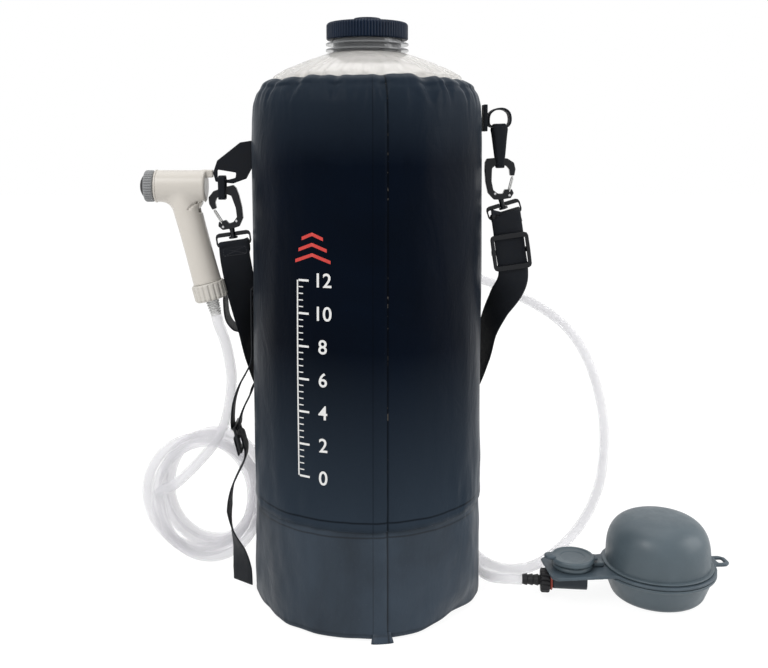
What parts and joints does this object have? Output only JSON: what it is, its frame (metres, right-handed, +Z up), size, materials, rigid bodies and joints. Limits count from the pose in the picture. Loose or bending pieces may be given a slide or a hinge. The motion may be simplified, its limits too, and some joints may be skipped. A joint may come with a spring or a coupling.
{
  "type": "camp shower bag",
  "caption": "Tall soft water bag with a screw cap, carry strap on snap hooks, foot air pump, hand shower and clear coiled hose.",
  "frame": {"origin": "centre of the bag's base, on the floor", "axes": "+Z up along the bag's axis, +X towards the foot pump, -Y towards the front"},
  "size_m": [0.509, 0.2832, 0.4803],
  "materials": {
    "coated_fabric": "dark navy coated fabric with a soft sheen",
    "grey_fabric": "grey coated fabric",
    "bladder_film": "milky film",
    "clear_film": "clear milky film",
    "neck_plastic": "grey moulded plastic",
    "cap_plastic": "dark blue-grey moulded plastic",
    "webbing": "black woven webbing",
    "black_plastic": "black moulded plastic",
    "steel_wire": "bright wire",
    "ivory_plastic": "off-white moulded plastic",
    "grey_plastic": "light grey moulded plastic",
    "pump_plastic": "grey-blue moulded plastic",
    "pump_dark_plastic": "darker grey-blue moulded plastic",
    "black_rubber": "black rubber",
    "red_rubber": "reddish rubber",
    "clear_hose": "clear flexible tube"
  },
  "bodies": {
    "bag": {"air_hose": "clear_hose", "base_panel": "coated_fabric", "bladder_base": "bladder_film", "bladder_shoulder": "clear_film", "bladder_tube": "bladder_film", "gun_body": "ivory_plastic", "gun_collar_nut": "grey_plastic", "gun_tail": "clear_film", "gun_washer": "black_rubber", "inlet_fitting": "cap_plastic", "inlet_lock_nut": "cap_plastic", "inlet_washer": "black_rubber", "left_anchor_tab": "webbing", "left_hanger_loop": "webbing", "left_swivel_loop": "black_plastic", "lower_anchor_webbing": "webbing", "neck_fitting": "neck_plastic", "outlet_elbow": "cap_plastic", "outlet_fitting": "cap_plastic", "outlet_lock_nut": "cap_plastic", "outlet_washer": "black_rubber", "pump_barb": "black_rubber", "pump_bowl": "pump_plastic", "pump_channel": "pump_dark_plastic", "pump_duct": "pump_plastic", "pump_nut": "black_rubber", "pump_o_ring": "red_rubber", "pump_plate": "pump_dark_plastic", "pump_valve_seat": "pump_plastic", "right_anchor_patch": "webbing", "right_anchor_webbing": "webbing", "right_hanger_loop": "webbing", "right_swivel_loop": "black_plastic", "shoulder_strap": "webbing", "sleeve_lower_band": "grey_fabric", "sleeve_upper": "coated_fabric", "water_hose_coil": "clear_hose", "water_hose_lower": "clear_hose", "water_hose_upper": "clear_hose"},
    "cap_seal": {"cap_seal": "black_rubber"},
    "cap": {"cap": "cap_plastic"},
    "right_hook": {"right_hook": "black_plastic"},
    "right_gate": {"right_gate": "steel_wire"},
    "left_hook": {"left_hook": "black_plastic"},
    "left_gate": {"left_gate": "steel_wire"},
    "right_slider": {"right_slider": "black_plastic"},
    "ladder_lock": {"ladder_lock": "black_plastic", "side_strap": "webbing"},
    "gun_lever": {"gun_lever": "ivory_plastic"},
    "nozzle": {"nozzle_ring": "grey_plastic", "nozzle_tip": "black_rubber"},
    "pump_dome": {"pump_dome": "pump_plastic"},
    "pump_valve_cap": {"pump_valve_cap": "pump_plastic"},
    "pump_intake_flap": {"pump_intake_flap": "black_rubber"}
  },
  "joints": [
    {"name": "cap_lift", "type": "slide", "parent": "bag", "child": "cap_seal", "axis": [0, 0, 1], "range_m": [0, 0.01]},
    {"name": "cap_turn", "type": "hinge", "parent": "cap_seal", "child": "cap", "pos_m": [0, 0, 0.4603], "axis": [0, 0, 1], "range_deg": [0, 906]},
    {"name": "right_hook_swivel", "type": "hinge", "parent": "bag", "child": "right_hook", "pos_m": [0.1125, 0, 0.325], "axis": [-0.2924, 0, 0.9563], "range_deg": [-6, 6]},
    {"name": "right_gate_open", "type": "hinge", "parent": "right_hook", "child": "right_gate", "pos_m": [0.1175, 0, 0.3362], "axis": [0, -1, 0], "range_deg": [0, 25], "stiffness_Nm_per_rad": 0.01, "springref_deg": -11.46},
    {"name": "left_hook_swivel", "type": "hinge", "parent": "bag", "child": "left_hook", "pos_m": [-0.1118, 0, 0.301], "axis": [-0.1392, 0, 0.9903], "range_deg": [-6, 6]},
    {"name": "left_gate_open", "type": "hinge", "parent": "left_hook", "child": "left_gate", "pos_m": [-0.12002, 0, 0.31011], "axis": [0, 1, 0], "range_deg": [0, 25], "stiffness_Nm_per_rad": 0.01, "springref_deg": -11.46},
    {"name": "slider_slide", "type": "slide", "parent": "bag", "child": "right_slider", "axis": [-0.1392, 0, 0.9903], "range_m": [-0.004, 0.011]},
    {"name": "buckle_pivot", "type": "hinge", "parent": "bag", "child": "ladder_lock", "pos_m": [-0.1105, 0, 0.1404], "axis": [0, 1, 0], "range_deg": [0, 12]},
    {"name": "lever_press", "type": "hinge", "parent": "bag", "child": "gun_lever", "pos_m": [-0.144, 0, 0.328], "axis": [0, 1, 0], "range_deg": [0, 10], "stiffness_Nm_per_rad": 0.05, "springref_deg": -11.46},
    {"name": "nozzle_turn", "type": "hinge", "parent": "bag", "child": "nozzle", "pos_m": [-0.175, 0, 0.341], "axis": [-1, 0, 0], "range_deg": [0, 180]},
    {"name": "pump_press", "type": "slide", "parent": "bag", "child": "pump_dome", "axis": [0, 0, -1], "range_m": [0, 0.03], "stiffness_N_per_m": 800, "springref_m": -0.003, "deforming": ["pump_dome"]},
    {"name": "valve_cap_flip", "type": "hinge", "parent": "bag", "child": "pump_valve_cap", "pos_m": [0.18847, -0.02374, 0.033], "axis": [-0.0785, 0.9969, 0], "range_deg": [0, 110]},
    {"name": "intake_flap_lift", "type": "slide", "parent": "bag", "child": "pump_intake_flap", "axis": [0, 0, 1], "range_m": [0, 0.0012]}
  ],
  "couplings": [
    {"joint": "cap_turn", "follows": "cap_lift", "rad_per_m": 1570.8}
  ]
}
